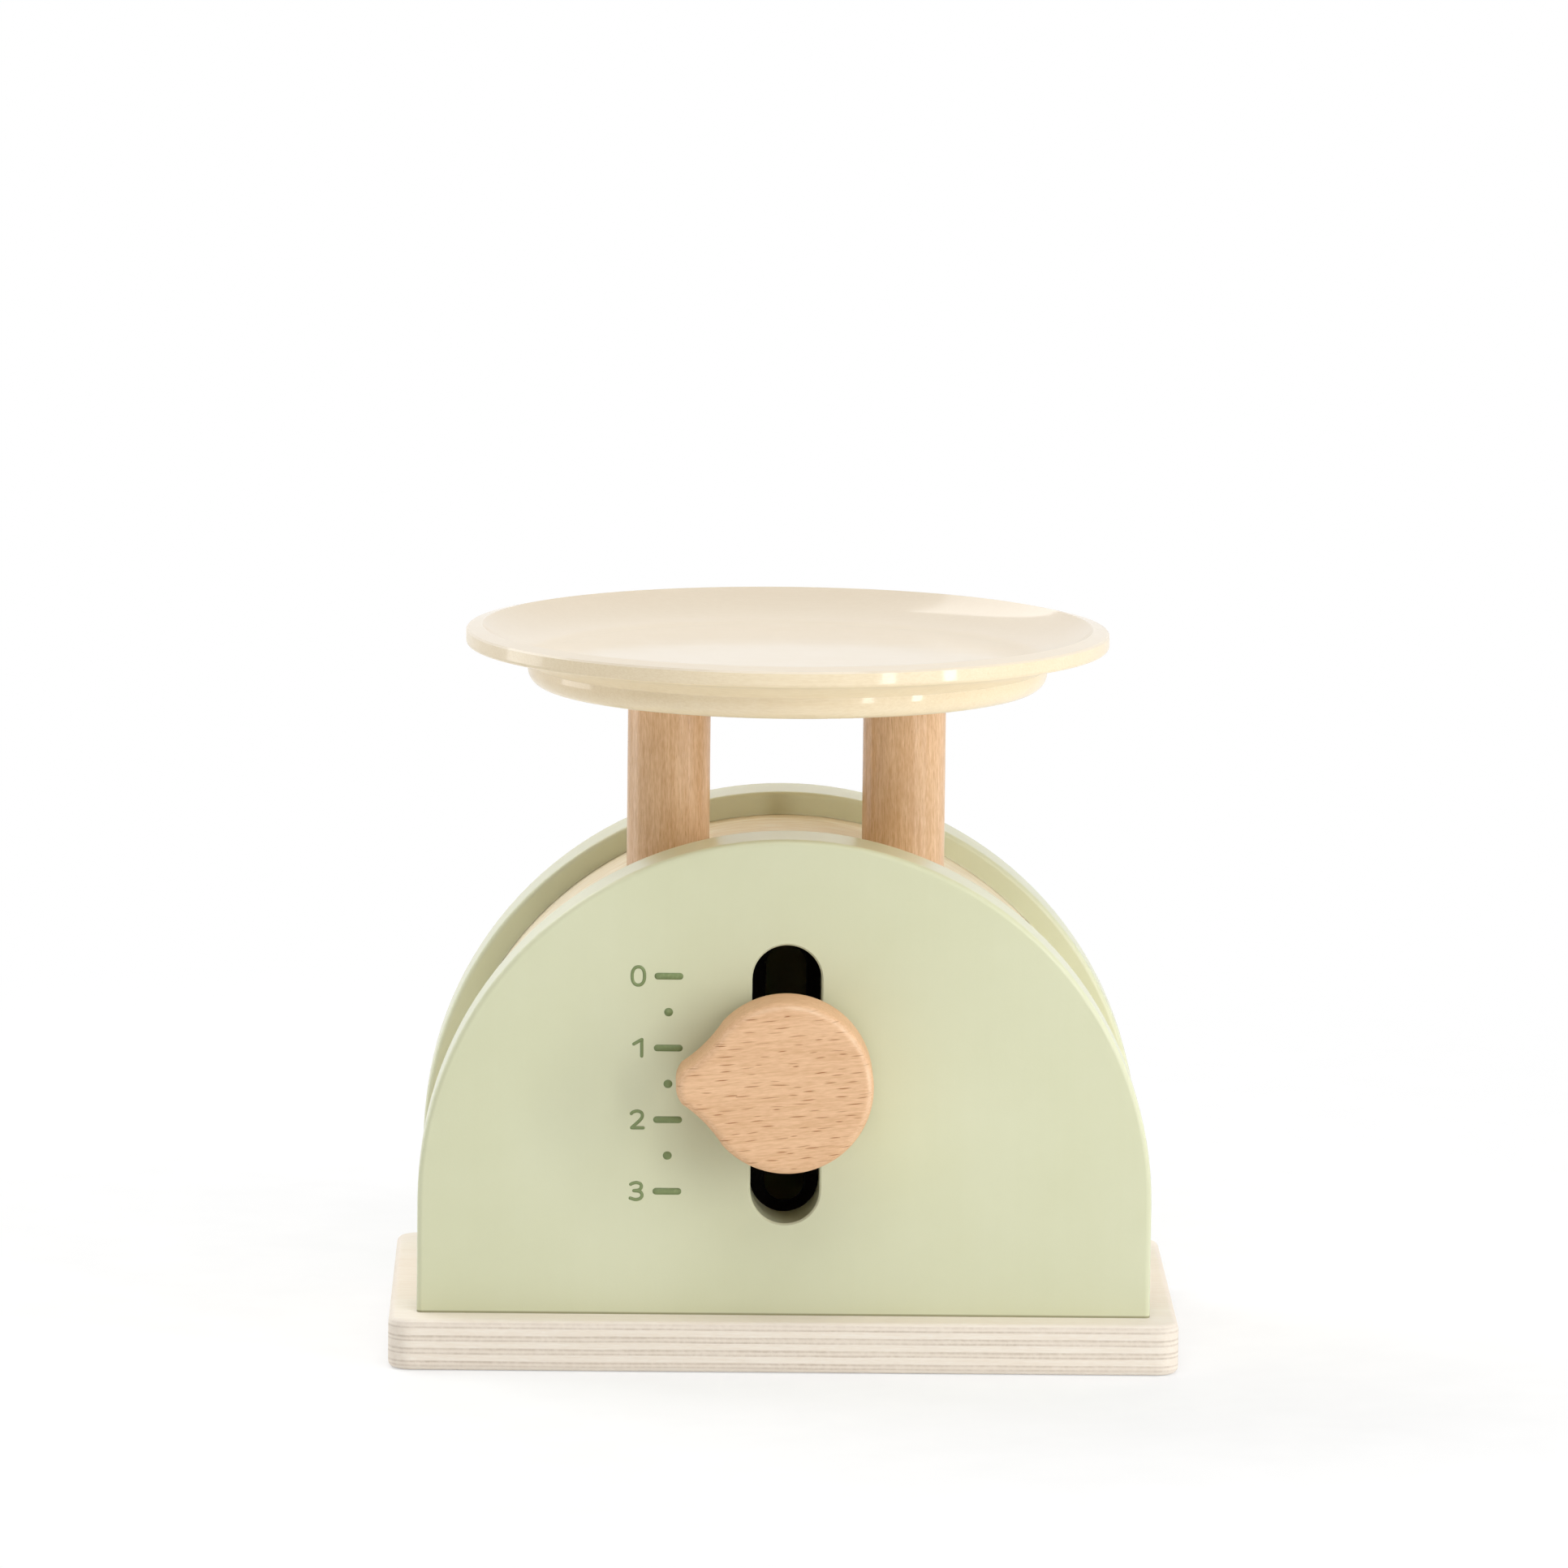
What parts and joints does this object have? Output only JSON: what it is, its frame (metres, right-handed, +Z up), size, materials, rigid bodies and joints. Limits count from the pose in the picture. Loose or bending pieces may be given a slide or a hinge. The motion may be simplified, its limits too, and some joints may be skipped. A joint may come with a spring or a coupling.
{
  "type": "toy weighing scale",
  "caption": "Wooden toy weighing scale: a turned tray on sprung posts slides in an arched case, and a beech pointer rides in a front slot beside printed marks.",
  "frame": {"origin": "under the middle of the base board, on the surface that the scale stands on", "axes": "+Z up, +X to the right of someone reading the scale, -Y towards that reader"},
  "size_m": [0.17, 0.1398, 0.1552],
  "materials": {
    "sage_paint": "satin sage-green paint on wood",
    "birch_ply": "clear matt birch plywood with its layers showing on the edges",
    "birch_strip": "bare pale bent strip",
    "beech": "fine sanded beech with short dark flecks",
    "cream_lacquer": "glossy cream lacquer",
    "black_felt": "black felt",
    "steel": "zinc plated"
  },
  "bodies": {
    "case": {"base_plate": "birch_ply", "front_panel": "sage_paint", "rear_panel": "sage_paint", "arch_cover": "birch_strip", "slot_felt": "black_felt", "base_screws": "steel", "left_guide_pin": "beech", "right_guide_pin": "beech", "left_spring_washer": "steel", "right_spring_washer": "steel", "left_spring": "steel", "right_spring": "steel"},
    "carriage": {"tray": "cream_lacquer", "left_post": "beech", "right_post": "beech", "crossbar": "beech", "crossbar_screws": "steel", "knob_spindle": "beech", "pointer_knob": "beech", "knob_screw": "steel", "knob_washer": "steel"}
  },
  "joints": [
    {"name": "tray_slide", "type": "slide", "parent": "case", "child": "carriage", "axis": [0, 0, 1], "range_m": [-0.0256, 0.0211], "stiffness_N_per_m": 47.6, "springref_m": 0.02189, "deforming": ["left_spring", "right_spring"]}
  ]
}
